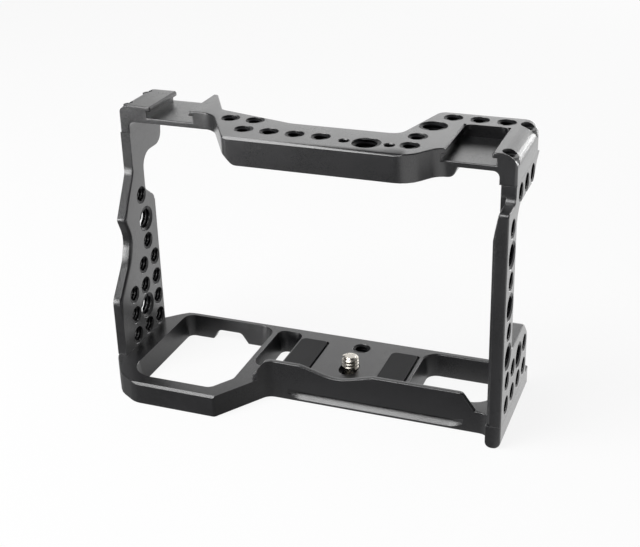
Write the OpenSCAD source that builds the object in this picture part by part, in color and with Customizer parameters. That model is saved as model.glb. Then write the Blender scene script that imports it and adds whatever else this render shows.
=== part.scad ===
// Camera cage: top plate, two arms and a base bolted round a mirrorless camera body.
// Millimetres. X runs from the grip side to the port side, Y to the rear, Z up.
// Depths called "reach" are measured forward from the rear edge of the top plate,
// and heights called "drop" are measured down from its top face.

/* [Overall] */
// Clear width between the grip arm and the port side's leg
bay_w = 143.2; // [136:0.1:156]
// Height from the underside of the base to the top face
cage_h = 105.3; // [100:0.1:115]
// Reach of the thumb frame at the front of the base
cage_d = 60.3; // [58:0.1:66]

/* [Plates] */
// Thickness of the top plate
top_t = 6.4; // [5.6:0.1:7.4]
// Thickness of the handle bar across the middle of the top plate
bar_t = 10.2; // [8.5:0.1:12]
// Drop of the seams between the top plate's legs and the arms
seam_drop = 10.9; // [10:0.1:12.5]
// Thickness of the arm on the grip side
grip_arm_t = 4; // [3.6:0.1:5]
// Thickness of the arm on the port side
port_arm_t = 5.3; // [4.6:0.1:5.8]
// Thickness of the top plate's leg on the port side
port_leg_t = 6; // [5.9:0.1:7]
// Thickness of the base plate
base_t = 8.8; // [8.4:0.1:10]
// Chamfer on the outer edges of the plates
edge_c = 0.8; // [0.4:0.1:1.2]

/* [Top plate] */
// Reach of the handle bar's front face
bar_front = 47.9; // [46:0.1:50]
// Reach of the handle bar's rear face
bar_rear = 27.4; // [26:0.1:28.5]
// Reach of the grip side's shoe block
grip_block = 25.2; // [24:0.1:27]
// Reach of the port side's shoe block
port_block = 37.3; // [36.5:0.1:38.5]
// Outer corner radius on the grip side
grip_corner_r = 4.2; // [2:0.1:5]
// Outer corner radius on the port side
port_corner_r = 6; // [3:0.1:6]

/* [Cold shoes] */
// Width of the undercut that takes a standard accessory foot
shoe_w = 18.7; // [18.6:0.05:19]
// Width of the opening between the lips
shoe_gap = 15.6; // [12.5:0.1:16]
// Depth of the shoe's floor below the top face
shoe_deep = 4.4; // [4.2:0.05:4.8]
// Thickness of the lips
shoe_lip = 1.95; // [1.6:0.05:2.1]
// Distance of the grip side's shoe centre from the outer face
shoe_grip_in = 21.2; // [20:0.1:22]
// Distance of the port side's shoe centre from the outer face
shoe_port_in = 16.4; // [16:0.1:17.5]
// Reach of the closed end of the port side's shoe
shoe_port_end = 11.1; // [10.6:0.1:12]

/* [Threaded holes] */
// Root diameter of a 1/4 inch-20 hole's thread
quarter_d = 6.35; // [6.3:0.05:6.5]
// Root diameter of a 3/8 inch-16 hole's thread
three_eighths_d = 9.53; // [9.4:0.01:9.7]
// Diameter of a locating pin hole
locating_d = 3.5; // [3:0.1:4]
// Countersink at the mouth of each hole
mouth_c = 0.35; // [0.2:0.05:0.5]
// Pitch of the hole pattern in the top plate
top_pitch = 9.525; // [9.4:0.005:9.7]
// Height pitch of the hole pattern in the grip arm
grip_pitch = 8.85; // [8.7:0.05:9.3]
// Pitch of the hole pattern in the port arm
port_pitch = 9.55; // [9.3:0.05:9.7]

/* [Base] */
// Reach of the base's front wall
wall_front = 40.1; // [39:0.1:41.5]
// Thickness of the lip that keeps the camera from turning
lip_t = 2; // [1.5:0.1:2.6]
// Height of the lip above the base
lip_h = 6.5; // [5:0.1:8]
// Depth of the dip in the middle of the lip
dip_deep = 3.9; // [2:0.1:4.5]
// Width of the lens opening's dip at the top of the lip
dip_w = 28.5; // [22:0.1:32]
// Reach of the port side's foot
foot_front = 47.8; // [46.5:0.1:49]
// Depth of the dovetail groove in the front wall
dovetail_deep = 1.9; // [1:0.1:2.4]
// Height of the dovetail groove's roof above the underside
dovetail_roof = 4.7; // [4:0.1:5.2]
// Height of the edge below the dovetail groove
dovetail_edge = 1; // [0.6:0.1:1.4]
// Radius of the cutter that leaves the dovetail groove's pointed ends
dovetail_cutter_r = 10; // [7:0.1:12]
// Draught of the windows from the top to the underside
window_draught = 1.7; // [0.5:0.1:2.2]

/* [Camera screw] */
// Distance of the camera screw from the middle of the cage's width
screw_x = 13; // [10:0.1:16]
// Reach of the camera screw's axis
screw_reach = 23.5; // [22.5:0.1:25]
// Major diameter of the camera screw's 1/4 inch-20 thread
screw_d = 6.3; // [6.1:0.05:6.35]
// Height of the camera screw's tip above the base
screw_up = 4.4; // [4:0.1:5.5]
// Diameter of the camera screw's head
screw_head_d = 13.6; // [12:0.1:15]
// Thickness of the camera screw's head
screw_head_t = 3; // [2.4:0.1:3.2]
// Diameter of the neck between the head and the thread
screw_neck_d = 4.7; // [4.2:0.1:5]
// Width of the coin slot in the head
coin_slot_w = 1.6; // [1:0.1:2]
// How far the camera screw slides back along its slot
screw_slide = 3; // [2:0.1:4]
// Thickness of the web that the head bears on, through its washer
web_t = 2; // [1.6:0.1:2.2]
// Thickness of the washer on the camera screw's head
washer_t = 0.8; // [0.5:0.1:1]
// How deep the camera screw's head sits in its recess
head_sunk = 0.6; // [0.3:0.1:1]

/* [Pads] */
// Thickness of the two rubber pads
pad_t = 1.1; // [1:0.05:1.5]
// Depth of the pads' pockets
pad_pocket = 0.8; // [0.6:0.05:0.9]
// Gap between a pad and the long side of its pocket
pad_gap = 0.8; // [0.4:0.1:1]

/* [Joint screws] */
// Nominal diameter of the slim joint screws (M2)
slim_d = 2; // [1.8:0.1:2]
// Length of the slim joint screws under the head
slim_l = 14; // [10:0.5:15]
// How deep the slim screws' heads sit below the plates' faces
slim_sunk = 0.8; // [0.4:0.1:1.2]
// Nominal diameter of the top plate's screws on the port side (M3)
stout_d = 3; // [2.5:0.1:3]
// Length of the top plate's screws on the port side
stout_l = 8; // [6:0.5:8]
// How deep the top plate's heads sit on the port side
stout_sunk = 1.6; // [1:0.1:1.6]

/* [Clearances] */
// Radial clearance round a joint screw in the plates
joint_clear = 0.05; // [0.03:0.01:0.09]
// Radial clearance round a joint screw's head
head_clear = 0.2; // [0.15:0.05:0.25]
// Clearance all round the camera screw in its slots
screw_clear = 0.35; // [0.2:0.05:0.4]
// Gap above and below the camera screw's washer
screw_gap = 0.05; // [0.03:0.01:0.08]
// Clearance round the short sides of a pad
pad_clear = 0.1; // [0.05:0.05:0.2]

/* [Hidden] */
$fn = 64;

anodised = [0.12, 0.12, 0.13];
rubber = [0.2, 0.2, 0.21];
nickel = [0.85, 0.83, 0.8];
black_steel = [0.08, 0.08, 0.09];

arc_step = 15;
over = 1;
cage_w = grip_arm_t + bay_w + port_leg_t;
grip_out = -cage_w / 2;
grip_in = grip_out + grip_arm_t;
port_out = cage_w / 2;
port_leg_in = port_out - port_leg_t;
port_in = port_out - port_arm_t;
rear = cage_d / 2;
seam_z = cage_h - seam_drop;
grip_shoe_x = grip_out + shoe_grip_in;
port_shoe_x = port_out - shoe_port_in;

// Y of a reach and Z of a drop
function at(reach) = rear - reach;
function down(drop) = cage_h - drop;

// ---- outlines ----------------------------------------------------------------------------------

function unit(v) = v / norm(v);
function turned(a) = a - 360 * round(a / 360);

// Points of a fillet of radius q.z at the corner q, between its neighbours p and s
function corner(p, q, s) =
    let (m = [q.x, q.y], a = [p.x, p.y] - m, b = [s.x, s.y] - m,
         half = acos(unit(a) * unit(b)) / 2,
         r = min(q.z, 0.48 * min(norm(a), norm(b)) * tan(half)))
    r < 0.05 ? [m] :
    let (c = m + unit(unit(a) + unit(b)) * r / sin(half),
         p0 = m + unit(a) * r / tan(half) - c,
         p1 = m + unit(b) * r / tan(half) - c,
         a0 = atan2(p0.y, p0.x),
         turn = turned(atan2(p1.y, p1.x) - a0),
         n = max(1, ceil(abs(turn) / arc_step - 0.01)))
    [for (i = [0:n]) c + r * [cos(a0 + turn * i / n), sin(a0 + turn * i / n)]];

// Closed outline through the corners [x, y, fillet radius]
function rounded(v) =
    let (n = len(v))
    [for (i = [0:n - 1]) each corner(v[(i + n - 1) % n], v[i], v[(i + 1) % n])];

// The counterclockwise outline p moved inwards by c
function inset(p, c) =
    let (n = len(p))
    [for (i = [0:n - 1])
        let (a = unit(p[i] - p[(i + n - 1) % n]), b = unit(p[(i + 1) % n] - p[i]),
             na = [-a.y, a.x], nb = [-b.y, b.x])
        p[i] + c * (na + nb) / (1 + na * nb)];

// Solid between two outlines of equally many points
module loft(low, z0, high, z1) {
    n = len(low);
    polyhedron(
        points = [for (p = low) [p.x, p.y, z0], for (p = high) [p.x, p.y, z1]],
        faces = [[for (i = [0:n - 1]) i],
                 [for (i = [0:n - 1]) 2 * n - 1 - i],
                 for (i = [0:n - 1]) [i, i + n, (i + 1) % n + n, (i + 1) % n]]);
}

// Extrudes a Y-Z outline along X
module along_x(x0, x1) {
    translate([x0, 0, 0]) rotate([90, 0, 90]) linear_extrude(x1 - x0) children();
}

// Extrudes an X-Z outline along Y
module along_y(y0, y1) {
    translate([0, y1, 0]) rotate([90, 0, 0]) linear_extrude(y1 - y0) children();
}

module slab(x0, x1, y0, y1, z0, z1) {
    translate([x0, y0, z0]) cube([x1 - x0, y1 - y0, z1 - z0]);
}

// Chamfer along a front edge that runs from x0 to x1 at the height z
module edge_chamfer(x0, x1, y, z) {
    along_x(x0, x1) polygon([
        [y - over, z - edge_c - over], [y - over, z + over], [y + edge_c + over, z + over]]);
}

// ---- holes -------------------------------------------------------------------------------------

// Bore of diameter d from z0 to z1 with a countersink at both mouths
module tapped(d, z0, z1) {
    wide = d + 2 * mouth_c + 2 * over;
    translate([0, 0, z0 - over]) cylinder(d = d, h = z1 - z0 + 2 * over);
    translate([0, 0, z1 - mouth_c]) cylinder(d1 = d, d2 = wide, h = mouth_c + over);
    translate([0, 0, z0 - over]) cylinder(d1 = wide, d2 = d, h = mouth_c + over);
}

// The same along X, at [y, z]
module tapped_x(p, d, x0, x1) {
    translate([0, p.x, p.y]) rotate([0, 90, 0]) tapped(d, x0, x1);
}

// Round-ended slot w wide, from y0 to y1
module slot_2d(x, y0, y1, w) {
    translate([x, y0 + w / 2]) circle(d = w);
    translate([x, y1 - w / 2]) circle(d = w);
    translate([x - w / 2, y0 + w / 2]) square([w, y1 - y0 - w]);
}

// ---- joint screws ------------------------------------------------------------------------------

// The grip side's screws stand a little inwards, to leave a wall outside their heads
grip_joint_x = (grip_out + grip_in) / 2 + 0.25;
port_joint_x = (port_out + port_leg_in) / 2;
port_foot_x = (port_out + port_in) / 2;
slim = [slim_d, slim_l, slim_sunk];
stout = [stout_d, stout_l, stout_sunk];
// Screws as [x, y, [diameter, length, sinking]]
TOP_JOINTS = [[grip_joint_x, at(21.5), slim], [grip_joint_x, at(6.5), slim],
              [port_joint_x, at(34.2), stout], [port_joint_x, at(5.6), stout]];
BASE_JOINTS = [[grip_joint_x, at(38.5), slim], [grip_joint_x, at(19.3), slim],
               [port_foot_x, at(36), slim], [port_foot_x, at(26.5), slim], [port_foot_x, at(16.9), slim]];

// A cap screw's head is 1.8 diameters wide and one high, with a key of three quarters
function head_d(d) = 1.8 * d;

// Socket head cap screw with the sizes s, head up, seated at z = 0
module joint_screw(s) {
    d = s.x;
    difference() {
        union() {
            cylinder(d = head_d(d), h = d);
            translate([0, 0, -s.y]) cylinder(d = d, h = s.y + d / 2);
        }
        translate([0, 0, d / 2]) cylinder(d = 0.75 * d / cos(30), h = d, $fn = 6);
    }
}

// Counterbore and hole for the joint screw s
module joint_hole(s) {
    end_gap = 0.3;
    cylinder(d = head_d(s.x) + 2 * head_clear, h = s.x + s.z + over);
    translate([0, 0, -s.y - end_gap]) cylinder(r = s.x / 2 + joint_clear, h = s.y + end_gap + over);
}

// Puts its children at screw p of the top plate, or of the base, head down
module at_top_joint(p) {
    translate([p.x, p.y, cage_h - p.z.x - p.z.z]) children();
}

module at_base_joint(p) {
    translate([p.x, p.y, p.z.x + p.z.z]) rotate([180, 0, 0]) children();
}

module top_screw(i) {
    color(black_steel) at_top_joint(TOP_JOINTS[i]) joint_screw(TOP_JOINTS[i].z);
}

module base_screw(i) {
    color(black_steel) at_base_joint(BASE_JOINTS[i]) joint_screw(BASE_JOINTS[i].z);
}

module top_joint_holes() {
    for (p = TOP_JOINTS) at_top_joint(p) joint_hole(p.z);
}

module base_joint_holes() {
    for (p = BASE_JOINTS) at_base_joint(p) joint_hole(p.z);
}

// ---- top plate ---------------------------------------------------------------------------------

fin_x = grip_shoe_x + shoe_gap / 2;
lip_rear = 3.4;
bar_left = -23.6;
bar_right = 42.9;

TOP = rounded([
    [grip_out, at(grip_block), 1],
    [-37.4, at(grip_block), 9],
    [bar_left, at(bar_front), 3],
    [bar_right, at(bar_front), 10],
    [port_shoe_x - shoe_gap / 2 - 2, at(port_block), 6],
    [port_out, at(port_block), 1],
    [port_out, at(0), 4],
    [40.7, at(0), 3.5],
    [33.8, at(bar_rear), 4.5],
    [-6.5, at(bar_rear), 12],
    [-36.2, at(bar_rear - 7.7), 3.5],
    [fin_x + 2, at(lip_rear), 1],
    [fin_x, at(lip_rear), 0],
    [fin_x, at(1.5), 0],
    [grip_out, at(1.5), 1]]);

// The top plate seen from the front, and the bar's extra depth
ARCH = rounded([
    [grip_out, seam_z, 0], [grip_in, seam_z, 0], [grip_in, down(top_t), 3.4],
    [port_leg_in, down(top_t), 3], [port_leg_in, seam_z, 0], [port_out, seam_z, 0],
    [port_out, cage_h, port_corner_r], [grip_out, cage_h, grip_corner_r]]);
BAR = rounded([
    [bar_left - 0.4, cage_h, 0], [bar_left - 0.4, down(top_t), 0.6], [bar_left + 3.4, down(bar_t), 3],
    [port_shoe_x - 5, down(bar_t), 3.5], [port_shoe_x - 3.6, down(top_t), 0.6], [port_shoe_x - 3.6, cage_h, 0]]);

// Holes as [x, reach, diameter]
TOP_HOLES = concat(
    [for (i = [0:1]) [-19.6 - i * top_pitch, 28, quarter_d]],
    [for (i = [0:3]) [-19.6 + i * top_pitch, 38, quarter_d]],
    [[17.9, 39.7, locating_d], [25.9, 39.7, three_eighths_d], [33.9, 39.7, locating_d]],
    [for (i = [0:1]) [40.5, 38.1 - i * top_pitch, quarter_d]],
    [[42.5, 16.4, three_eighths_d]],
    [for (i = [0:2]) [46.7 + i * top_pitch, 5.6, quarter_d]]);

// T-slot of a cold shoe, from reach front to reach back, with corner radius r at the back
module shoe_slot(x, front, back, r) {
    floor_z = down(shoe_deep);
    lip_z = down(shoe_lip);
    translate([0, 0, floor_z]) linear_extrude(lip_z - floor_z)
        polygon(shoe_outline(x, front, back, shoe_w, r));
    translate([0, 0, floor_z]) linear_extrude(shoe_deep + over)
        polygon(shoe_outline(x, front, back, shoe_gap, r));
    // lead-in on the lips' upper edges
    for (side = [-1, 1]) translate([x + side * shoe_gap / 2, at(front), cage_h])
        rotate([-90, 45, 0]) translate([-edge_c / 2, -edge_c / 2, 0]) cube([edge_c, edge_c, front - back]);
}

function shoe_outline(x, front, back, w, r) = rounded([
    [x - w / 2, at(front), 0], [x + w / 2, at(front), 0],
    [x + w / 2, at(back), r], [x - w / 2, at(back), r]]);

module top_plate() {
    color(anodised) difference() {
        intersection() {
            translate([0, 0, seam_z]) linear_extrude(seam_drop) polygon(TOP);
            union() {
                along_y(at(cage_d), rear + over) polygon(ARCH);
                along_y(at(bar_front) - over, at(bar_rear) + over) polygon(BAR);
            }
        }
        edge_chamfer(bar_left - over, bar_right + over, at(bar_front), cage_h);
        shoe_slot(grip_shoe_x, grip_block + over, -over, 0);
        slab(grip_out - over, fin_x, at(lip_rear), rear, down(shoe_deep), cage_h + over);
        shoe_slot(port_shoe_x, port_block + over, shoe_port_end, 3);
        for (h = TOP_HOLES) translate([h.x, at(h.y), 0])
            tapped(h.z, down(h.y > bar_rear ? bar_t : top_t), cage_h);
        top_joint_holes();
    }
}

// ---- arms --------------------------------------------------------------------------------------

grip_foot = 42.9;
port_foot_rear = 7;

// Side views of the arms, as [y, z]
GRIP = rounded([
    [at(grip_foot), base_t, 0], [at(10.7), base_t, 0],
    [at(10.7), down(41), 3], [at(17), down(36.2), 2.5],
    [at(17), down(21.9), 6], [at(1.5), down(21.9), 5],
    [at(1.5), seam_z, 0], [at(grip_block), seam_z, 0],
    [at(grip_block), down(26.6), 8], [at(34.4), down(43.5), 2.5],
    [at(30.6), down(52), 10], [at(33.6), down(60.8), 15],
    [at(grip_foot), base_t + 22.9, 6]]);

grip_row = base_t + 3.9;
function grip_column(i) = at(14.7 + 9 * i);
GRIP_HOLES = concat(
    [[at(20.9), down(37.5), quarter_d], [at(18.85), down(48.2), three_eighths_d], [at(18.85), down(57.6), quarter_d]],
    [for (j = [0:2], i = [0:2])
        [grip_column(i), grip_row + j * grip_pitch, i == 1 && j == 1 ? three_eighths_d : quarter_d]],
    [for (i = [0:1]) [grip_column(i), grip_row + 3 * grip_pitch, quarter_d]]);

module grip_arm() {
    color(anodised) difference() {
        along_x(grip_out, grip_in) polygon(GRIP);
        for (h = GRIP_HOLES) tapped_x([h.x, h.y], h.z, grip_out, grip_in);
        top_joint_holes();
        base_joint_holes();
    }
}

PORT = rounded([
    [at(foot_front), base_t, 0], [at(port_foot_rear), base_t, 0],
    [at(port_foot_rear), base_t + 17.2, 3], [at(13.5), base_t + 23.7, 3],
    [at(34.6), base_t + 23.7, 2.5], [at(34.6), down(19.2), 6.5],
    [at(8.6), down(19.2), 4], [at(4.2), down(13.2), 3],
    [at(0.5), seam_z, 0], [at(port_block), seam_z, 0],
    [at(port_block), down(16.8), 5.8], [at(foot_front), down(16.8), 1.5]]);

port_row = base_t + 5.3;
port_column = 40.6;
PORT_HOLES = concat(
    [for (i = [0:2]) [at(11.1 + i * 9.5), down(15.4), quarter_d]],
    [for (j = [0:7]) [at(port_column), port_row + j * port_pitch, j == 2 || j == 4 || j == 6 ? three_eighths_d : quarter_d]],
    [for (i = [0:2], j = [0:1]) [at(12.1 + i * 9.6), port_row + 0.1 + j * 9.7, i == 1 && j == 1 ? three_eighths_d : quarter_d]]);

module port_arm() {
    bevel = 1.2;
    notch = 1.8;
    color(anodised) difference() {
        along_x(port_in, port_out) polygon(PORT);
        // bevel down the inner front edge, and the finger notch at its top
        translate([0, 0, base_t - over]) linear_extrude(cage_h) polygon([
            [port_in - over, at(foot_front) - over], [port_in + bevel + over, at(foot_front) - over],
            [port_in - over, at(foot_front) + bevel + over]]);
        along_y(at(foot_front) - over, at(foot_front) + 4)
            polygon([[port_in - over, down(15)], [port_in + notch, down(15)], [port_in + notch, down(16.8)],
                     [port_in, down(27)], [port_in - over, down(27)]]);
        for (h = PORT_HOLES) tapped_x([h.x, h.y], h.z, port_in, port_out);
        top_joint_holes();
        base_joint_holes();
    }
}

// ---- base --------------------------------------------------------------------------------------

strap_x0 = -23.7;
strap_x1 = -13;
ring_edge = -13.9;
foot_in = port_in - 0.3;

BASE = rounded([
    [grip_out, at(grip_foot + 0.2), 8], [grip_out + 8, at(cage_d - 4.9), 10], [grip_out + 16.1, at(cage_d), 8],
    [-27.2, at(cage_d), 1.6], [ring_edge, at(wall_front), 4.5],
    [foot_in, at(wall_front), 4.2], [foot_in, at(foot_front), 0],
    [port_out, at(foot_front), 0], [port_out, at(2.1), 1],
    [grip_out + 11, at(2.1), 1], [grip_out, at(12.9), 1]]);

// Front views that round the base's lower edges and shape the lip
BASE_FRONT = rounded([
    [grip_out, 0, 1.2], [port_out, 0, 2.8], [port_out, base_t + lip_h + over, 0], [grip_out, base_t + lip_h + over, 0]]);
lip_top = base_t + lip_h;
dip_x = 12.8;
LIP = rounded([
    [ring_edge - 6, base_t - over, 0], [foot_in - 4, base_t - over, 0],
    [foot_in - 5.8, base_t + 0.2, 2.5], [foot_in - 10.4, lip_top, 1.6],
    [dip_x + dip_w / 2, lip_top, 4], [dip_x, lip_top - dip_deep, 18],
    [dip_x - dip_w / 2, lip_top, 4], [ring_edge - 1, lip_top, 1.4], [ring_edge - 6, base_t + 0.2, 1]]);

// A window's cutter: its outline at the top, drawn in by the draught at the underside
module window(corners) {
    outline = rounded(corners);
    loft(inset(outline, window_draught * (1 + over / base_t)), -over,
         inset(outline, -window_draught * over / base_t), base_t + over);
}

ring_x0 = grip_out + 10.9;
ring_x1 = strap_x0 - 2;
RING_WINDOW = [
    [ring_x0, at(54.4), 9], [ring_x1 - 5.8, at(54.4), 3], [ring_x1, at(45.5), 3],
    [ring_x1, at(3.7), 6], [ring_x0, at(3.7), 4]];
STRAP_SLOT = [
    [strap_x0, at(33.5), 4], [strap_x1, at(33.5), 4], [strap_x1, at(4.6), 4], [strap_x0, at(4.6), 4]];
PORT_WINDOW = [
    [37.5, at(33.9), 2], [port_in - 1.8, at(33.9), 8], [port_in - 1.8, at(4.3), 4], [37.5, at(4.3), 5.5]];

// Dovetail groove milled along the front wall, run out at both ends
module dovetail() {
    x0 = -0.5;
    x1 = foot_in - 15.5;
    y = at(wall_front) + dovetail_deep - dovetail_cutter_r;
    knee = dovetail_edge + dovetail_deep;
    along_x(x0, x1) polygon([
        [y, dovetail_roof], [y, dovetail_edge - over], [at(wall_front) - over, dovetail_edge - over],
        [at(wall_front) + dovetail_deep, knee], [at(wall_front) + dovetail_deep, dovetail_roof]]);
    for (x = [x0, x1]) translate([x, y, 0]) rotate_extrude() polygon([
        [0, dovetail_edge - over], [dovetail_cutter_r - dovetail_deep - over, dovetail_edge - over],
        [dovetail_cutter_r, knee], [dovetail_cutter_r, dovetail_roof], [0, dovetail_roof]]);
}

// Stepped slot of the captive camera screw
neck_w = screw_neck_d + 2 * screw_clear;
thread_w = screw_d + 2 * screw_clear;
head_w = screw_head_d + 2 * screw_clear;
recess_z = head_sunk + screw_head_t + washer_t + 2 * screw_gap;
screw_y = at(screw_reach);

module screw_slots() {
    translate([0, 0, -over]) linear_extrude(base_t + 2 * over)
        slot_2d(screw_x, screw_y - screw_slide - neck_w / 2, screw_y + neck_w / 2, neck_w);
    translate([0, 0, recess_z + web_t]) linear_extrude(base_t)
        slot_2d(screw_x, screw_y - screw_slide - thread_w / 2, screw_y + thread_w / 2, thread_w);
    translate([0, 0, -over]) linear_extrude(recess_z + over)
        slot_2d(screw_x, screw_y - screw_slide - head_w / 2, screw_y + head_w / 2, head_w);
}

// Pads as [x0, x1], with their free side towards the port arm
GRIP_PAD = [-12.4, -1.6];
PORT_PAD = [25.1, 35.5];
pad_front = 33;
pad_rear = 8.3;

module pad_shape(span, grow) {
    translate([0, 0, base_t - pad_pocket]) linear_extrude(pad_t + grow) polygon(rounded([
        [span.x - grow, at(pad_front) - grow, 1], [span.y + (grow > 0 ? pad_gap : 0), at(pad_front) - grow, 1],
        [span.y + (grow > 0 ? pad_gap : 0), at(pad_rear) + grow, 1.5], [span.x - grow, at(pad_rear) + grow, 2]]));
}

module base_plate() {
    color(anodised) difference() {
        union() {
            intersection() {
                linear_extrude(base_t) polygon(BASE);
                along_y(at(cage_d) - over, rear) polygon(BASE_FRONT);
            }
            // lip along the front wall, following its outline
            intersection() {
                translate([0, 0, base_t - over]) linear_extrude(lip_h + over) difference() {
                    polygon(BASE);
                    polygon(inset(BASE, lip_t));
                }
                along_y(at(foot_front), at(wall_front - 6)) polygon(LIP);
                slab(ring_edge - 6, foot_in - 3.5, at(wall_front + 4), rear, 0, cage_h);
            }
        }
        edge_chamfer(grip_out + 12.6, ring_edge - 13.1, at(cage_d), base_t);
        window(RING_WINDOW);
        window(STRAP_SLOT);
        window(PORT_WINDOW);
        // cut-out under the ring's rear rail
        along_y(at(12), rear) polygon(rounded([
            [-54, -over, 0], [-37, -over, 0], [-41.3, 4, 2.5], [-51.4, 4, 2.5]]));
        dovetail();
        screw_slots();
        translate([12.6, at(9.1), 0]) tapped(quarter_d, 0, base_t);
        for (span = [GRIP_PAD, PORT_PAD]) pad_shape(span, pad_clear);
        base_joint_holes();
    }
}

module pad(span) {
    color(rubber) pad_shape(span, 0);
}

// ---- camera screw ------------------------------------------------------------------------------

thread_z = base_t - 0.1;

module at_screw(z) {
    translate([screw_x, screw_y, z]) children();
}

module tube(outer, inner, h) {
    difference() {
        cylinder(d = outer, h = h);
        translate([0, 0, -over]) cylinder(d = inner, h = h + 2 * over);
    }
}

module camera_screw() {
    tip_c = 0.9;
    tip_z = base_t + screw_up;
    color(nickel) at_screw(head_sunk) difference() {
        union() {
            cylinder(d = screw_head_d, h = screw_head_t);
            cylinder(d = screw_neck_d, h = thread_z - head_sunk + tip_c);
            translate([0, 0, thread_z - head_sunk]) cylinder(d = screw_d, h = tip_z - thread_z - tip_c);
            translate([0, 0, tip_z - head_sunk - tip_c]) cylinder(d1 = screw_d, d2 = screw_d - 2 * tip_c, h = tip_c);
        }
        translate([-screw_head_d, -coin_slot_w / 2, -over]) cube([2 * screw_head_d, coin_slot_w, 1.4 + over]);
    }
}

// Washer between the head and the web
module screw_washer() {
    color(nickel) at_screw(head_sunk + screw_head_t + screw_gap)
        tube(screw_head_d - 0.4, screw_neck_d + 0.5, washer_t);
}

top_plate();
grip_arm();
port_arm();
base_plate();
pad(GRIP_PAD);  // grip_pad
pad(PORT_PAD);  // port_pad
screw_washer();
camera_screw();
top_screw(0);  // top_screw_grip_front
top_screw(1);  // top_screw_grip_rear
top_screw(2);  // top_screw_port_front
top_screw(3);  // top_screw_port_rear
base_screw(0);  // base_screw_grip_front
base_screw(1);  // base_screw_grip_rear
base_screw(2);  // base_screw_port_front
base_screw(3);  // base_screw_port_middle
base_screw(4);  // base_screw_port_rear
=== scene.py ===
from math import cos, hypot, pi, radians, sin, tau

import bmesh
import bpy
import numpy as np
from bpy.props import FloatProperty, FloatVectorProperty, IntProperty, PointerProperty
from bpy.types import NodeSocket, Operator, Panel, PropertyGroup
from mathutils import Matrix, Vector
from mathutils.bvhtree import BVHTree


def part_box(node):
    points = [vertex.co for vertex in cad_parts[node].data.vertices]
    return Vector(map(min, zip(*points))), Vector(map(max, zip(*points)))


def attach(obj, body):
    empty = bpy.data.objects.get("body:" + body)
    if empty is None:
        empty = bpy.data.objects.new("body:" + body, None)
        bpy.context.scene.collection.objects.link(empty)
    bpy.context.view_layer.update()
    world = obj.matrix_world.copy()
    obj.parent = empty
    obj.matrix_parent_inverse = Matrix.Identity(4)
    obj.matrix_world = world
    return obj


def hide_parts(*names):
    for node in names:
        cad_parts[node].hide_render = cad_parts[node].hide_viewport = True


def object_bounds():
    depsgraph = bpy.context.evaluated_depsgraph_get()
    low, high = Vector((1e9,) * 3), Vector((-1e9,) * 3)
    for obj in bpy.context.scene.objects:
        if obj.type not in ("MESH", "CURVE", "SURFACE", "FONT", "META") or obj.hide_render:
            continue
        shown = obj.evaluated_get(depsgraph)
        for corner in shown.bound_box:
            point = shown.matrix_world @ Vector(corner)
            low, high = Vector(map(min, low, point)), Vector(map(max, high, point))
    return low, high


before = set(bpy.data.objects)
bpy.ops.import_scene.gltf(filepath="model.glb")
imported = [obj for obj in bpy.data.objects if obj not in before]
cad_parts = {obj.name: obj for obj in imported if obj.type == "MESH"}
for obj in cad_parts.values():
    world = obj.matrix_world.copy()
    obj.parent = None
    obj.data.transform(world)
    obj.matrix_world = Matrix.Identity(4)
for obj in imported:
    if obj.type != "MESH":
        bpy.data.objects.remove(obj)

bl_info = {
    "name": "Camera cage",
    "version": (1, 0, 0),
    "blender": (4, 5, 0),
    "location": "View3D > Sidebar > Camera cage",
    "description": "Finishes a camera cage: broken edges, cut threads, anodising and a studio",
    "category": "Object",
}

CAD_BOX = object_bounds()
CAGE = "cage"
PLATES = ("top_plate", "grip_arm", "port_arm", "base_plate")
PLATE_BORES = (2, 0, 0, 2)

# How meshes are compared and mended, in metres and radians
WELD = 1e-6
TURNED_WELD = 2e-6
COLLAPSED = 1e-7
ON_AXIS = 1e-9
NO_LENGTH = 1e-20
SAME = 1e-5
FLAT = radians(0.3)
SMOOTH = radians(32)
SHARP = radians(60)

# What counts as a fault of a broken edge, and how the edges near one give way
FOLD = radians(150)
PROUD = 3e-5
SPECK = 2e-10
TRIES = 8
FAULT_REACH = 1.5
NARROWER = 0.6
EDGE_STEPS = 3

# What counts as the wall of a round bore
UPRIGHT = 0.01
SAME_WALL = 0.8
LARGEST_BORE = 8e-3
OUT_OF_ROUND = 2e-5
OPEN_ARC = radians(50)
BORE_RIM = 3e-5

# Places on the plates where the edges are broken less, or more
OUTER_WALL = 0.0765
SCREW_AREA = 8e-3
PAD_END = 1.2e-3
PAD_SIDE = 3e-4
FINGER_REAR = 0.0115
PAD_EDGE = 2.5e-4
JOINT_SCREW_EDGE = 1.2e-4
WASHER_EDGE = 1e-4

# The rounded foot and the finger notch; cutters reach past the metal by OVER
OVER = 1e-3
HAIR = 1e-4
ROUND_STEPS = 6
FOOT_ROUND = 2.4e-3
FOOT_RUN_OUT = FOOT_ROUND / 10
NOTCH_DEEP = 1.8e-3
NOTCH_TOP, NOTCH_KNEE, NOTCH_FOOT = (CAD_BOX[1].z - drop for drop in (0.0150, 0.0168, 0.0270))
NOTCH_FRONT, NOTCH_REAR = (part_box("port_arm")[0].y + reach for reach in (0.0039, 0.0105))

# Threads: corners are (share of the pitch, share of the depth or radius)
QUARTER_BORE = 6.35e-3
THREE_EIGHTHS_BORE = 9.53e-3
BORE_DIGITS = 5
THREAD_DEPTH = 0.6134
BORE_CORNERS = ((0, 0), (0.12, 0), (0.44, 1), (0.68, 1))
RUN_OUT = 2.5e-4
SINK = 1e-4
LEAD_TURNS = 1.5

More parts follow.
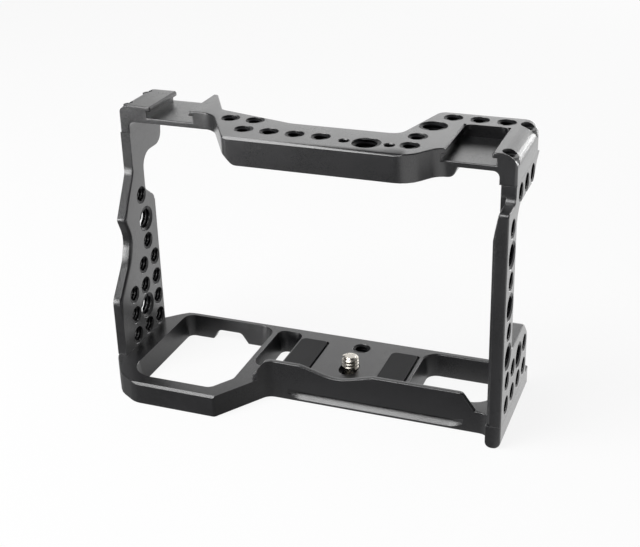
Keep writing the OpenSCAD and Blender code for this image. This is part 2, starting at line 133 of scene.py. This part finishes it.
# The camera screw
HEAD_HEIGHT = 3e-3
HEAD_CHAMFER = 4e-4
NECK_R = 2.35e-3
CORE_R = 2.42e-3
CREST_R = 3.15e-3
CORE_STEP = 1e-4
CORE_CHAMFER = 6e-4
SCREW_CORNERS = ((0, CORE_R), (0.1, CORE_R), (0.46, CREST_R), (0.6, CREST_R))
SCREW_THREAD = 4.7e-3
PLAIN_TIP = 3e-4
# Faces this close to the camera screw's core take the painted shade of the thread root
ROOT_SHADE_BAND = 2e-4
COIN_SLOT = (1.6e-3, 2.8e-3)
LATHE_STEPS = 48

# The finishes: spreads are shares or plus and minus, grain and depth are metres
BROAD_SCALE = 60
NOISE_SPAN = (0.3, 0.7)
LOOKS = {
    "anodised": dict(
        spread=0.4, roughness=0.3, rough_spread=0.08, grain=2.2e-4, depth=6e-5,
        IOR=1.6, Coat_Weight=1, Coat_Roughness=0.3, Coat_IOR=1.5),
    "thread": dict(
        tint="anodised", spread=0.2, roughness=0.4, rough_spread=0.05, grain=3e-4, depth=2e-6, IOR=1.4),
    "rubber": dict(
        spread=0.3, roughness=0.62, rough_spread=0.06, grain=1.6e-4, depth=2e-5, IOR=1.45),
    "nickel": dict(
        spread=0.08, roughness=0.3, rough_spread=0.08, grain=3e-4, depth=6e-6, Metallic=1),
    # Painted shade: a dark nickel down in the camera screw's thread root, standing in for the shade there
    "thread_root": dict(
        spread=0.2, roughness=0.45, rough_spread=0.08, grain=3e-4, depth=2e-6, Metallic=1),
    "black_steel": dict(
        spread=0.3, roughness=0.35, rough_spread=0.08, grain=2e-4, depth=4e-6, IOR=1.8),
}

# The stage: the camera, the softboxes as (size, place), and how the room and the floor fade
AZIMUTH, ELEVATION, ROLL = radians(21.401), radians(23.433), radians(-1.594)
CAMERA_SPOT = (0.14826, -0.36617, 0.23699)
SENSOR = 36
LENS = 67.216
SHIFT = -0.0664
CLIP = (0.02, 20)
LAMPS = {
    "overhead": ((0.55, 0.55), (-0.30, -0.35, 0.80)),
    "front": ((0.4, 0.3), (-0.66, -0.66, 0.12)),
    "rear": ((0.9, 0.4), (-0.10, 0.90, 0.42)),
    "side": ((0.5, 0.14), (0.26, 0.92, 0.08)),
}
AIM = Vector((0, 0, 0.05))
WHITE = (1, 1, 1, 1)
ROOM_X = (-0.75, -0.1, 0.4, 1)
ROOM_Y = (-0.3, 0.3)
ROOM_Z = (0.6, 0.3, 0.2, 1)
FLOOR_Y = (-0.04, 0.07)
FLOOR_BESIDE = (CAD_BOX[1].x - 0.004, CAD_BOX[1].x + 0.001)
PAPER_CELLS = 8
PAPER_REACH = 3
PAPER_ROUGHNESS = 0.9


class CAGE_Finish(PropertyGroup):
    anodised: FloatVectorProperty(
        name="Anodised", description="Colour of the anodised plates",
        subtype="COLOR", default=(0.0045, 0.0045, 0.0058))
    rubber: FloatVectorProperty(
        name="Rubber", description="Colour of the two pads",
        subtype="COLOR", default=(0.02, 0.02, 0.021))
    nickel: FloatVectorProperty(
        name="Nickel", description="Colour of the camera screw",
        subtype="COLOR", default=(0.80, 0.76, 0.69))
    # Painted shade: this dark colour stands in for the shade down in the camera screw's thread
    thread_root: FloatVectorProperty(
        name="Thread root", description="Colour down in the camera screw's thread",
        subtype="COLOR", default=(0.12, 0.10, 0.08))
    black_steel: FloatVectorProperty(
        name="Black steel", description="Colour of the joint screws",
        subtype="COLOR", default=(0.015, 0.015, 0.016))
    edge_width: FloatProperty(
        name="Edge width", description="Width of the broken edges",
        subtype="DISTANCE", default=4.5e-4, min=0)
    seam_width: FloatProperty(
        name="Seam width", description="Width of the broken edges at the seams",
        subtype="DISTANCE", default=1e-4, min=0)
    finger_width: FloatProperty(
        name="Finger edge", description="Width of the edge that the fingers meet inside the grip arm",
        subtype="DISTANCE", default=1.2e-3, min=0)


class CAGE_Threads(PropertyGroup):
    quarter_pitch: FloatProperty(
        name="1/4 inch pitch", description="Pitch of the 1/4 inch-20 threads",
        subtype="DISTANCE", default=1.27e-3)
    three_eighths_pitch: FloatProperty(
        name="3/8 inch pitch", description="Pitch of the 3/8 inch-16 threads",
        subtype="DISTANCE", default=1.5875e-3)
    steps: IntProperty(
        name="Steps", description="Steps in one turn of a thread", default=32, min=12, max=96)


class CAGE_Studio(PropertyGroup):
    paper: FloatVectorProperty(
        name="Paper", description="Colour of the floor", subtype="COLOR", default=(0.9, 0.9, 0.9))
    glow: FloatProperty(
        name="Glow", description="Share of the floor that is plain white, without the shadow",
        default=0.88, min=0, max=1)
    overhead: FloatProperty(
        name="Overhead", description="Power of the softbox above", subtype="POWER", default=6.5)
    front: FloatProperty(
        name="Front", description="Power of the low softbox in front", subtype="POWER", default=6)
    rear: FloatProperty(
        name="Rear", description="Power of the low softbox at the back", subtype="POWER", default=0.6)
    side: FloatProperty(
        name="Side", description="Power of the low softbox on the port side", subtype="POWER", default=1.2)
    room: FloatProperty(
        name="Room", description="Strength of the light of the room", default=0.25, min=0)
    dark: FloatProperty(
        name="Dark", description="Brightness of the room behind the camera, in reflections",
        default=0.08, min=0)


# ---- materials ---------------------------------------------------------------------------------

def principled(name, **sockets):
    """New material with the shader's sockets set; returns its tree and shader too."""
    made = bpy.data.materials.new(name)
    made.use_nodes = True
    shader = made.node_tree.nodes["Principled BSDF"]
    for socket, value in sockets.items():
        shader.inputs[socket.replace("_", " ")].default_value = value
    return made, made.node_tree, shader


def feed(tree, socket, value):
    """Links another node's output to a socket, or sets a plain value."""
    if isinstance(value, NodeSocket):
        tree.links.new(value, socket)
    else:
        socket.default_value = value


def reckoned(tree, operation, *values):
    """Output of a Math node fed with the values."""
    node = tree.nodes.new("ShaderNodeMath")
    node.operation = operation
    for socket, value in zip(node.inputs, values):
        feed(tree, socket, value)
    return node.outputs[0]


def ranged(tree, value, start, end, low, high, smooth=True):
    """Output that goes from low to high while the value goes from start to end."""
    node = tree.nodes.new("ShaderNodeMapRange")
    node.interpolation_type = "SMOOTHSTEP" if smooth else "LINEAR"
    for socket, number in (
            ("Value", value), ("From Min", start), ("From Max", end), ("To Min", low), ("To Max", high)):
        feed(tree, node.inputs[socket], number)
    return node.outputs["Result"]


def mixed(tree, share, first, second):
    """Output of two shaders mixed."""
    node = tree.nodes.new("ShaderNodeMixShader")
    for socket, value in zip(node.inputs, (share, first, second)):
        feed(tree, socket, value)
    return node.outputs[0]


def noise(tree, scale, detail):
    """Output of a noise in the object's own space."""
    node = tree.nodes.new("ShaderNodeTexNoise")
    node.inputs["Scale"].default_value = scale
    node.inputs["Detail"].default_value = detail
    tree.links.new(tree.nodes.new("ShaderNodeTexCoord").outputs["Object"], node.inputs["Vector"])
    return node.outputs["Fac"]


def speckled(name, colour, spread, roughness, rough_spread, grain, depth, **sockets):
    """Material whose colour, roughness and relief vary by two noises in the object's own space."""
    made, tree, shader = principled(name, **sockets)
    fine = noise(tree, 1 / grain, 3)
    broad = noise(tree, BROAD_SCALE, 4)
    level = reckoned(tree, "MULTIPLY_ADD", fine, 0.5, reckoned(tree, "MULTIPLY", broad, 0.5))
    tint = tree.nodes.new("ShaderNodeValToRGB")
    for element, position, share in zip(tint.color_ramp.elements, NOISE_SPAN, (1 - spread, 1 + spread)):
        element.position = position
        element.color = (*[min(1, c * share) for c in colour], 1)
    tree.links.new(level, tint.inputs["Fac"])
    tree.links.new(tint.outputs["Color"], shader.inputs["Base Color"])
    rough = ranged(tree, level, *NOISE_SPAN, roughness - rough_spread, roughness + rough_spread, smooth=False)
    tree.links.new(rough, shader.inputs["Roughness"])
    bump = tree.nodes.new("ShaderNodeBump")
    bump.inputs["Strength"].default_value = 1
    bump.inputs["Distance"].default_value = depth
    tree.links.new(fine, bump.inputs["Height"])
    tree.links.new(bump.outputs["Normal"], shader.inputs["Normal"])
    return made


def material(name):
    """One of the cage's materials, made when it is first asked for."""
    if name in bpy.data.materials:
        return bpy.data.materials[name]
    look = dict(LOOKS[name])
    colour = getattr(bpy.context.scene.cage_finish, look.pop("tint", name))
    return speckled(name, colour, **look)


# ---- meshes ------------------------------------------------------------------------------------

def placed(name, data):
    """New object in the scene."""
    made = bpy.data.objects.new(name, data)
    bpy.context.scene.collection.objects.link(made)
    return made


def meshed(name, bm):
    """New mesh from a bmesh, which stays."""
    mesh = bpy.data.meshes.new(name)
    bm.to_mesh(mesh)
    return mesh


def evaluated():
    """The scene with its modifiers worked out."""
    return bpy.context.evaluated_depsgraph_get()


def subtract(target, tool):
    """Takes one object out of another by a modifier."""
    cut = target.modifiers.new("Cut", "BOOLEAN")
    cut.operation, cut.object, cut.solver = "DIFFERENCE", tool, "EXACT"


def piece(name, bm, materials, body, slot, *nodes):
    """Object from a bmesh, dressed, riding on a body, standing for CAD nodes."""
    bmesh.ops.recalc_face_normals(bm, faces=bm.faces)
    mesh = meshed(name, bm)
    bm.free()
    mesh.polygons.foreach_set("use_smooth", [True] * len(mesh.polygons))
    mesh.set_sharp_from_angle(angle=SMOOTH)
    for m in materials:
        mesh.materials.append(material(m))
    made = placed(name, mesh)
    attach(made, body)
    if nodes:
        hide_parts(*nodes)
    return made


def plain(node):
    """The node's points and faces alone."""
    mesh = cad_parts[node].data
    bm = bmesh.new()
    verts = [bm.verts.new(v.co) for v in mesh.vertices]
    for face in mesh.polygons:
        bm.faces.new([verts[i] for i in face.vertices]).smooth = True
    return bm


def make_whole(bm):
    """Joins a mesh's faces and makes its flats whole."""
    bmesh.ops.remove_doubles(bm, verts=bm.verts, dist=WELD)
    bmesh.ops.dissolve_limit(
        bm, angle_limit=FLAT, use_dissolve_boundaries=False, verts=bm.verts, edges=bm.edges, delimit=set())
    bm.normal_update()


def bores(node, axis):
    """Round holes along an axis as (centre, radius, low, high); a stepped wall gives its common span."""
    across = [i for i in range(3) if i != axis]
    bm = plain(node)
    bmesh.ops.remove_doubles(bm, verts=bm.verts, dist=WELD)
    bm.normal_update()
    walls = {f for f in bm.faces if abs(f.normal[axis]) < UPRIGHT}
    found = []
    while walls:
        patch, todo = [], [walls.pop()]
        while todo:
            face = todo.pop()
            patch.append(face)
            for edge in face.edges:
                for other in edge.link_faces:
                    if other in walls and other.normal.dot(face.normal) > SAME_WALL:
                        walls.discard(other)
                        todo.append(other)
        points = np.array([v.co for v in {v for f in patch for v in f.verts}])
        flat = points[:, across]
        fit = np.linalg.lstsq(
            np.c_[2 * flat, np.ones(len(flat))], (flat ** 2).sum(1), rcond=None)[0]
        away = flat - fit[:2]
        reach = np.hypot(*away.T)
        radius = reach.mean()
        if radius > LARGEST_BORE or np.ptp(reach) > OUT_OF_ROUND:
            continue
        angles = np.sort(np.arctan2(away[:, 1], away[:, 0]))
        if np.diff(np.r_[angles, angles[0] + tau]).max() > OPEN_ARC:
            continue
        face = patch[0]
        middle = np.array(face.calc_center_median())[across] - fit[:2]
        if np.dot(middle, np.array(face.normal)[across]) > 0:
            continue
        along = points[:, axis]
        half = (along.min() + along.max()) / 2
        found.append((fit[:2], radius, along[along < half].max(), along[along > half].min()))
    bm.free()
    return found


def faults(bm, skin):
    """Points where a mesh folds over itself or stands out of the skin."""
    found = []
    for vert in bm.verts:
        spot, normal, _, _ = skin.find_nearest(vert.co)
        if (vert.co - spot).dot(normal) > PROUD:
            found.append(vert.co)
    for edge in bm.edges:
        if len(edge.link_faces) == 2 and edge.calc_face_angle(0) > FOLD and (
                min(f.calc_area() for f in edge.link_faces) > SPECK):
            found.append((edge.verts[0].co + edge.verts[1].co) / 2)
    return np.array([tuple(v) for v in found])


def carve(bm, front, rear):
    """Takes a cutter, given by its two end faces, out of a mesh."""
    cutter = bmesh.new()
    ends = [[cutter.verts.new(point) for point in outline] for outline in (front, rear)]
    cutter.faces.new(ends[0])
    cutter.faces.new(ends[1][::-1])
    for i in range(len(front)):
        cutter.faces.new((ends[0][i], ends[0][i - 1], ends[1][i - 1], ends[1][i]))
    bmesh.ops.recalc_face_normals(cutter, faces=cutter.faces)
    metal, tool = (placed("carving", meshed("carving", part)) for part in (bm, cutter))
    cutter.free()
    subtract(metal, tool)
    bm.clear()
    bm.from_object(metal, evaluated())
    for made in (metal, tool):
        bpy.data.objects.remove(made)
    make_whole(bm)


def broken_copy(node, name, finish, slot, width_of, shape=None, body=CAGE):
    """Copy of a CAD node, shaped further where asked, with its sharp outer edges broken, each to its
    own width, or to less where there is no room for it."""
    bm = plain(node)
    make_whole(bm)
    if shape:
        shape(bm)
    skin = BVHTree.FromBMesh(bm)
    layer = bm.edges.layers.float.new("bevel_weight_edge")
    edges = [e for e in bm.edges if len(e.link_faces) == 2 and e.is_convex and e.calc_face_angle() > SHARP]
    widths = np.array([width_of(e) for e in edges])
    ends = np.array([[tuple(v.co) for v in e.verts] for e in edges])
    start, run = ends[:, 0], ends[:, 1] - ends[:, 0]
    widest = widths.max()
    made = piece(name, bm.copy(), [finish], body, slot, node)
    bevel = made.modifiers.new("Broken edges", "BEVEL")
    bevel.limit_method = "WEIGHT"
    bevel.width = widest
    bevel.segments = EDGE_STEPS
    bevel.use_clamp_overlap = False
    bevel.miter_outer = "MITER_SHARP"
    for attempt in range(TRIES):
        for edge, width in zip(edges, widths):
            edge[layer] = width / widest
        bm.to_mesh(made.data)
        made.data.update()
        result = bmesh.new()
        result.from_object(made, evaluated())
        bmesh.ops.dissolve_degenerate(result, edges=result.edges, dist=COLLAPSED)
        bmesh.ops.triangulate(result, faces=[f for f in result.faces if len(f.verts) > 4])
        result.normal_update()
        spots = faults(result, skin)
        if not len(spots):
            break
        near = np.zeros(len(edges), bool)
        for spot in spots:
            share = ((spot - start) * run).sum(1) / np.maximum((run ** 2).sum(1), NO_LENGTH)
            away = np.linalg.norm(start + np.clip(share, 0, 1)[:, None] * run - spot, axis=1)
            near |= away < FAULT_REACH * widest
        widths[near] *= NARROWER if attempt < TRIES / 2 else 0
        if attempt + 1 < TRIES:
            result.free()
    bm.free()
    made.modifiers.clear()
    result.to_mesh(made.data)
    result.free()
    made.data.set_sharp_from_angle(angle=SMOOTH)
    weigh = made.modifiers.new("Flat faces", "WEIGHTED_NORMAL")
    weigh.keep_sharp = True
    weigh.weight = 100
    shaded = bpy.data.meshes.new_from_object(made.evaluated_get(evaluated()))
    made.modifiers.clear()
    made.data = shaded
    return made


def bake(made):
    """Gives the piece the mesh that its modifiers make, with its larger faces in triangles."""
    bm = bmesh.new()
    bm.from_object(made, evaluated())
    bmesh.ops.triangulate(bm, faces=[f for f in bm.faces if len(f.verts) > 4])
    bmesh.ops.dissolve_degenerate(bm, edges=bm.edges, dist=COLLAPSED)
    made.modifiers.clear()
    bm.to_mesh(made.data)
    bm.free()
    made.data.set_sharp_from_angle(angle=SMOOTH)


def on_circle(place, radius, step, steps, z):
    """Point of a circle round the Z of the matrix place."""
    angle = tau * step / steps
    return place @ Vector((radius * cos(angle), radius * sin(angle), z))


def thread(bm, place, low, high, pitch, corners, wall, steps):
    """Adds a cut thread from low to high along the Z of the matrix place, closed by a plain wall.
    Corners are (share of the pitch, radius); beyond its ends the thread falls back to the wall."""
    turns = int((high - low) / pitch) + int(2 * LEAD_TURNS)
    rows = []
    for turn in range(turns):
        for share, radius in corners:
            row = []
            for step in range(steps):
                z = low + (turn - LEAD_TURNS + share + step / steps) * pitch
                r = radius if low < z < high else wall
                row.append(bm.verts.new(on_circle(place, r, step, steps, min(max(z, low), high))))
            rows.append(row)
    count = len(corners)
    for i in range(len(rows) - 1):
        for j in range(steps):
            if j + 1 < steps:
                ring = rows[i][j], rows[i][j + 1], rows[i + 1][j + 1], rows[i + 1][j]
            elif i + 1 + count < len(rows):
                ring = rows[i][j], rows[i + count][0], rows[i + 1 + count][0], rows[i + 1][j]
            else:
                continue
            bm.faces.new(ring)
    for j in range(steps):
        k = (j + 1) % steps
        bm.faces.new((rows[0][j], rows[-1][j], rows[-1][k], rows[0][k]))


def lathe(bm, place, profile, steps=LATHE_STEPS):
    """Adds a closed turned solid from (radius, height) points; its ends lie on the axis."""
    rings = []
    for radius, z in profile:
        if radius < ON_AXIS:
            rings.append([bm.verts.new(place @ Vector((0, 0, z)))] * steps)
        else:
            rings.append([bm.verts.new(on_circle(place, radius, step, steps, z)) for step in range(steps)])
    for low, high in zip(rings, rings[1:]):
        for j in range(steps):
            k = (j + 1) % steps
            ring = list(dict.fromkeys((low[j], low[k], high[k], high[j])))
            if len(ring) > 2:
                bm.faces.new(ring)


def joined(bm):
    """The mesh with the points that coincide joined."""
    bmesh.ops.remove_doubles(bm, verts=bm.verts, dist=TURNED_WELD)
    bmesh.ops.dissolve_degenerate(bm, edges=bm.edges, dist=COLLAPSED)
    return bm


def bore_place(centre, axis):
    """Matrix whose Z runs along a bore that lies along X or Z."""
    if axis == 0:
        return Matrix(((0, 0, 1, 0), (1, 0, 0, centre[0]), (0, 1, 0, centre[1]), (0, 0, 0, 1)))
    return Matrix.Translation((centre[0], centre[1], 0))


# ---- operators ---------------------------------------------------------------------------------

class CAGE_OT_plates(Operator):
    """Break the edges of the four plates and anodise them"""
    bl_idname = "cage.plates"
    bl_label = "Plates"

    def execute(self, context):
        finish = context.scene.cage_finish
        foot, seam = (corner.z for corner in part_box("grip_arm"))
        finger_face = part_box("grip_arm")[1].x
        screw = (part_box("camera_screw")[0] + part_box("camera_screw")[1]) / 2
        pads = [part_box(n) for n in ("grip_pad", "port_pad")]
        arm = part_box("port_arm")[0]

        def round_foot(bm):
            """Rounds the foot's lower inner edge, running out at the wall."""
            floor = CAD_BOX[0].z
            low = [v.co for v in bm.verts if v.co.z < floor + SAME]
            edge = min(co.x for co in low if co.x > arm.x - OVER and abs(co.y - arm.y) < SAME)
            rear = max(co.y for co in low if abs(co.x - edge) < SAME)

            def outline(y, radius):
                arc = [(edge + radius * (1 - sin(a)), y, floor + radius * (1 - cos(a)))
                       for a in (pi / 2 * step / ROUND_STEPS for step in range(ROUND_STEPS + 1))]
                return [(edge - OVER, y, floor - OVER), (edge + radius, y, floor - OVER), *arc,
                        (edge - OVER, y, floor + radius)]

            carve(bm, outline(arm.y - HAIR, FOOT_ROUND), outline(rear, FOOT_RUN_OUT))

        def run_out_notch(bm):
            """Lets the arm's inner wall run out into its finger notch."""
            section = ((arm.x - OVER, NOTCH_TOP), (arm.x + NOTCH_DEEP, NOTCH_TOP),
                       (arm.x + NOTCH_DEEP, NOTCH_KNEE), (arm.x, NOTCH_FOOT), (arm.x - OVER, NOTCH_FOOT))
            carve(bm, *([(x, y, z) for x, z in section] for y in (NOTCH_FRONT, NOTCH_REAR)))

        def at_bore(a, b, rings):
            """Whether both points lie on the rim of one of the bores."""
            for axis, centre, radius in rings:
                across = [i for i in range(3) if i != axis]
                if all(abs(hypot(*(p[i] - c for i, c in zip(across, centre))) - radius) < BORE_RIM
                       for p in (a, b)):
                    return True
            return False

        def at_seam(a, b, node):
            """Whether the edge lies where a plate seats on another."""
            meets = node != "base_plate" or (
                min(abs(a.x), abs(b.x)) > OUTER_WALL or min(a.x, b.x) > arm.x - OVER)
            return meets and any(max(abs(a.z - height), abs(b.z - height)) < SAME for height in (seam, foot))

        def at_screw_or_pad(middle):
            """Whether the place is close to the camera screw's slot or to a pad's pocket."""
            return hypot(middle.x - screw.x, middle.y - screw.y) < SCREW_AREA or any(
                low.x - PAD_END < middle.x < high.x + PAD_END and
                low.y - PAD_SIDE < middle.y < high.y + PAD_SIDE for low, high in pads)

        shapes = {"base_plate": round_foot, "port_arm": run_out_notch}
        for node in PLATES:
            rings = [(axis, centre, radius) for axis in (0, 2) for centre, radius, _, _ in bores(node, axis)]

            def width_of(edge, node=node, rings=rings):
                a, b = (v.co for v in edge.verts)
                if at_bore(a, b, rings) or at_seam(a, b, node) or (
                        node == "base_plate" and at_screw_or_pad((a + b) / 2)):
                    return finish.seam_width
                if node == "grip_arm" and max(a.y, b.y) < FINGER_REAR and (
                        max(abs(a.x - finger_face), abs(b.x - finger_face)) < SAME):
                    return finish.finger_width
                return finish.edge_width

            broken_copy(node, f"{node}_finished", "anodised", "black_anodised", width_of, shapes.get(node))
        return {"FINISHED"}


class CAGE_OT_threads(Operator):
    """Cut the 1/4 inch and 3/8 inch threads into the plates' bores"""
    bl_idname = "cage.threads"
    bl_label = "Threads"

    def execute(self, context):
        sizes = context.scene.cage_threads
        pitches = {round(QUARTER_BORE, BORE_DIGITS): sizes.quarter_pitch,
                   round(THREE_EIGHTHS_BORE, BORE_DIGITS): sizes.three_eighths_pitch}
        for node, axis in zip(PLATES, PLATE_BORES):
            bm = bmesh.new()
            for centre, radius, low, high in bores(node, axis):
                pitch = pitches.get(round(2 * radius, BORE_DIGITS))
                if pitch is None:
                    continue
                depth = THREAD_DEPTH * pitch
                corners = [(share, radius - deep * depth) for share, deep in BORE_CORNERS]
                thread(bm, bore_place(centre, axis), low - RUN_OUT, high + RUN_OUT, pitch, corners,
                       radius + SINK, sizes.steps)
            if node == "port_arm":
                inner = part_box(node)[0].x
                for vert in bm.verts:
                    if vert.co.y < NOTCH_REAR and vert.co.z > NOTCH_FOOT:
                        share = min(1, (vert.co.z - NOTCH_FOOT) / (NOTCH_KNEE - NOTCH_FOOT))
                        vert.co.x = max(vert.co.x, inner + share * NOTCH_DEEP)
            piece(f"{node}_threads", joined(bm), ["thread"], CAGE, "black_anodised")
        return {"FINISHED"}


class CAGE_OT_pads(Operator):
    """Mould the two rubber pads"""
    bl_idname = "cage.pads"
    bl_label = "Pads"

    def execute(self, context):
        for node in ("grip_pad", "port_pad"):
            made = broken_copy(node, f"{node}_rubber", "rubber", "pad_rubber", lambda edge: PAD_EDGE)
        return {"FINISHED"}


class CAGE_OT_joint_screws(Operator):
    """Finish the cap screws that hold the plates together"""
    bl_idname = "cage.joint_screws"
    bl_label = "Joint screws"

    def execute(self, context):
        for node in sorted(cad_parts):
            if "_screw_" in node:
                broken_copy(node, f"{node}_finished", "black_steel", "joint_screw_black",
                            lambda edge: JOINT_SCREW_EDGE)
        return {"FINISHED"}


class CAGE_OT_camera_screw(Operator):
    """Turn the camera screw with its thread and coin slot, and its washer"""
    bl_idname = "cage.camera_screw"
    bl_label = "Camera screw"

    def execute(self, context):
        sizes = context.scene.cage_threads
        low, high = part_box("camera_screw")
        place = Matrix.Translation(((low.x + high.x) / 2, (low.y + high.y) / 2, 0))
        head_r, top = (high.x - low.x) / 2, high.z
        head_top, start = low.z + HEAD_HEIGHT, top - SCREW_THREAD
        bm = bmesh.new()
        lathe(bm, place, [
            (0, low.z), (head_r - HEAD_CHAMFER, low.z), (head_r, low.z + HEAD_CHAMFER),
            (head_r, head_top - HEAD_CHAMFER), (head_r - HEAD_CHAMFER, head_top),
            (NECK_R, head_top), (NECK_R, start), (CORE_R, start + CORE_STEP),
            (CORE_R, top - CORE_CHAMFER), (CORE_R - CORE_CHAMFER, top), (0, top)])
        made = piece("camera_screw_turned", joined(bm), ["nickel"], "camera_screw", "bright_nickel",
                     "camera_screw")
        cutter = bmesh.new()
        across = Matrix.Translation((0, 0, low.z)) @ Matrix.Diagonal((3 * head_r, *COIN_SLOT, 1))
        bmesh.ops.create_cube(cutter, size=1, matrix=place @ across)
        coin = placed("coin", meshed("coin", cutter))
        cutter.free()
        subtract(made, coin)
        bake(made)
        bpy.data.objects.remove(coin)
        bm = bmesh.new()
        thread(bm, place, start, top - PLAIN_TIP, sizes.quarter_pitch, SCREW_CORNERS, CORE_R - SINK,
               2 * sizes.steps)
        axis = place.translation
        # Faces down at the thread's root get the dark material, a painted shade
        for face in joined(bm).faces:
            middle = face.calc_center_median() - axis
            face.material_index = hypot(middle.x, middle.y) < CORE_R + ROOT_SHADE_BAND
        piece("camera_screw_thread", bm, ["nickel", "thread_root"], "camera_screw", "bright_nickel")
        broken_copy("screw_washer", "screw_washer_finished", "nickel", "bright_nickel",
                    lambda edge: WASHER_EDGE, body="screw_washer")
        return {"FINISHED"}


class CAGE_OT_stage(Operator):
    """Set the camera, the softboxes, the paper floor and the white room"""
    bl_idname = "cage.stage"
    bl_label = "Stage"

    def execute(self, context):
        scene, studio = context.scene, context.scene.cage_studio
        scene.view_settings.view_transform = "Standard"
        self.set_camera(scene)
        self.set_lamps(studio)
        self.set_room(scene, studio)
        self.lay_paper(studio)
        return {"FINISHED"}

    def set_camera(self, scene):
        back = Vector((sin(AZIMUTH) * cos(ELEVATION), -cos(AZIMUTH) * cos(ELEVATION), sin(ELEVATION)))
        level = (-back).cross(Vector((0, 0, 1))).normalized()
        upright = level.cross(-back)
        right = cos(ROLL) * level + sin(ROLL) * upright
        up = cos(ROLL) * upright - sin(ROLL) * level
        camera = placed("camera", bpy.data.cameras.new("camera"))
        turn = Matrix((right, up, back)).transposed().to_4x4()
        camera.matrix_world = Matrix.Translation(CAMERA_SPOT) @ turn
        camera.data.sensor_width = SENSOR
        camera.data.lens = LENS
        camera.data.shift_y = SHIFT
        camera.data.clip_start, camera.data.clip_end = CLIP
        scene.camera = camera

    def set_lamps(self, studio):
        for name, (size, spot) in LAMPS.items():
            lamp = bpy.data.lights.new(name, "AREA")
            lamp.shape, lamp.energy = "RECTANGLE", getattr(studio, name)
            lamp.size, lamp.size_y = size
            made = placed(name, lamp)
            made.location = spot
            made.rotation_mode = "QUATERNION"
            made.rotation_quaternion = (AIM - Vector(spot)).to_track_quat("-Z", "Y")
            made.visible_camera = False

    def set_room(self, scene, studio):
        """Even light for the surfaces, a fading room for reflections and plain white for the camera."""
        world = bpy.data.worlds.new("room")
        scene.world = world
        world.use_nodes = True
        tree, nodes = world.node_tree, world.node_tree.nodes
        ray = nodes.new("ShaderNodeLightPath")
        room = nodes["Background"]
        room.inputs["Strength"].default_value = studio.room
        split = nodes.new("ShaderNodeSeparateXYZ")
        tree.links.new(nodes.new("ShaderNodeTexCoord").outputs["Generated"], split.inputs[0])
        fades = [ranged(tree, split.outputs[axis], *span) for axis, span in (
            ("X", ROOM_X), ("Y", (*ROOM_Y, studio.dark, 1)), ("Z", ROOM_Z))]
        seen, white = nodes.new("ShaderNodeBackground"), nodes.new("ShaderNodeBackground")
        backdrop = reckoned(tree, "MULTIPLY", reckoned(tree, "MULTIPLY", *fades[:2]), fades[2])
        tree.links.new(backdrop, seen.inputs["Strength"])
        for background in (room, seen, white):
            background.inputs["Color"].default_value = WHITE
        glossy = mixed(tree, ray.outputs["Is Glossy Ray"], room.outputs[0], seen.outputs[0])
        shown = mixed(tree, ray.outputs["Is Camera Ray"], glossy, white.outputs[0])
        tree.links.new(shown, nodes["World Output"].inputs["Surface"])

    def lay_paper(self, studio):
        """Floor that glows for the camera, and in reflections behind the cage and on its port side."""
        bm = bmesh.new()
        bmesh.ops.create_grid(bm, x_segments=PAPER_CELLS, y_segments=PAPER_CELLS, size=PAPER_REACH)
        floor = placed("paper", meshed("paper", bm))
        bm.free()
        floor.location.z = CAD_BOX[0].z
        paper, tree, shader = principled("paper", Roughness=PAPER_ROUGHNESS, Base_Color=(*studio.paper, 1))
        ray, split, light = (
            tree.nodes.new(f"ShaderNode{kind}") for kind in ("LightPath", "SeparateXYZ", "Emission"))
        tree.links.new(tree.nodes.new("ShaderNodeNewGeometry").outputs["Position"], split.inputs[0])
        camera, glossy = ray.outputs["Is Camera Ray"], ray.outputs["Is Glossy Ray"]
        share = reckoned(tree, "MULTIPLY", reckoned(tree, "MAXIMUM", camera, glossy), studio.glow)
        depth = ranged(tree, split.outputs["Y"], *FLOOR_Y, studio.dark, 1)
        beside = ranged(tree, split.outputs["X"], *FLOOR_BESIDE, 0, 1, smooth=False)
        strength = reckoned(tree, "MAXIMUM", depth, reckoned(tree, "MAXIMUM", camera, beside))
        tree.links.new(strength, light.inputs["Strength"])
        surface = mixed(tree, share, shader.outputs[0], light.outputs[0])
        tree.links.new(surface, tree.nodes["Material Output"].inputs["Surface"])
        floor.data.materials.append(paper)


class CAGE_PT_panel(Panel):
    """Steps and sizes of the camera cage"""
    bl_idname = "CAGE_PT_panel"
    bl_label = "Camera cage"
    bl_space_type = "VIEW_3D"
    bl_region_type = "UI"
    bl_category = "Camera cage"

    def draw(self, context):
        for group in GROUPS:
            box = self.layout.box()
            for prop in group.__annotations__:
                box.prop(getattr(context.scene, GROUPS[group]), prop)
        for operator in OPERATORS:
            self.layout.operator(operator.bl_idname)


GROUPS = {CAGE_Finish: "cage_finish", CAGE_Threads: "cage_threads", CAGE_Studio: "cage_studio"}
OPERATORS = (
    CAGE_OT_plates, CAGE_OT_threads, CAGE_OT_pads, CAGE_OT_joint_screws, CAGE_OT_camera_screw, CAGE_OT_stage)


def register():
    for item in (*GROUPS, *OPERATORS, CAGE_PT_panel):
        bpy.utils.register_class(item)
    for group, name in GROUPS.items():
        setattr(bpy.types.Scene, name, PointerProperty(type=group))


def unregister():
    for name in GROUPS.values():
        delattr(bpy.types.Scene, name)
    for item in (CAGE_PT_panel, *reversed(OPERATORS), *reversed(GROUPS)):
        bpy.utils.unregister_class(item)


def main():
    register()
    for operator in OPERATORS:
        group, name = operator.bl_idname.split(".")
        getattr(getattr(bpy.ops, group), name)()


if __name__ == "__main__":
    main()
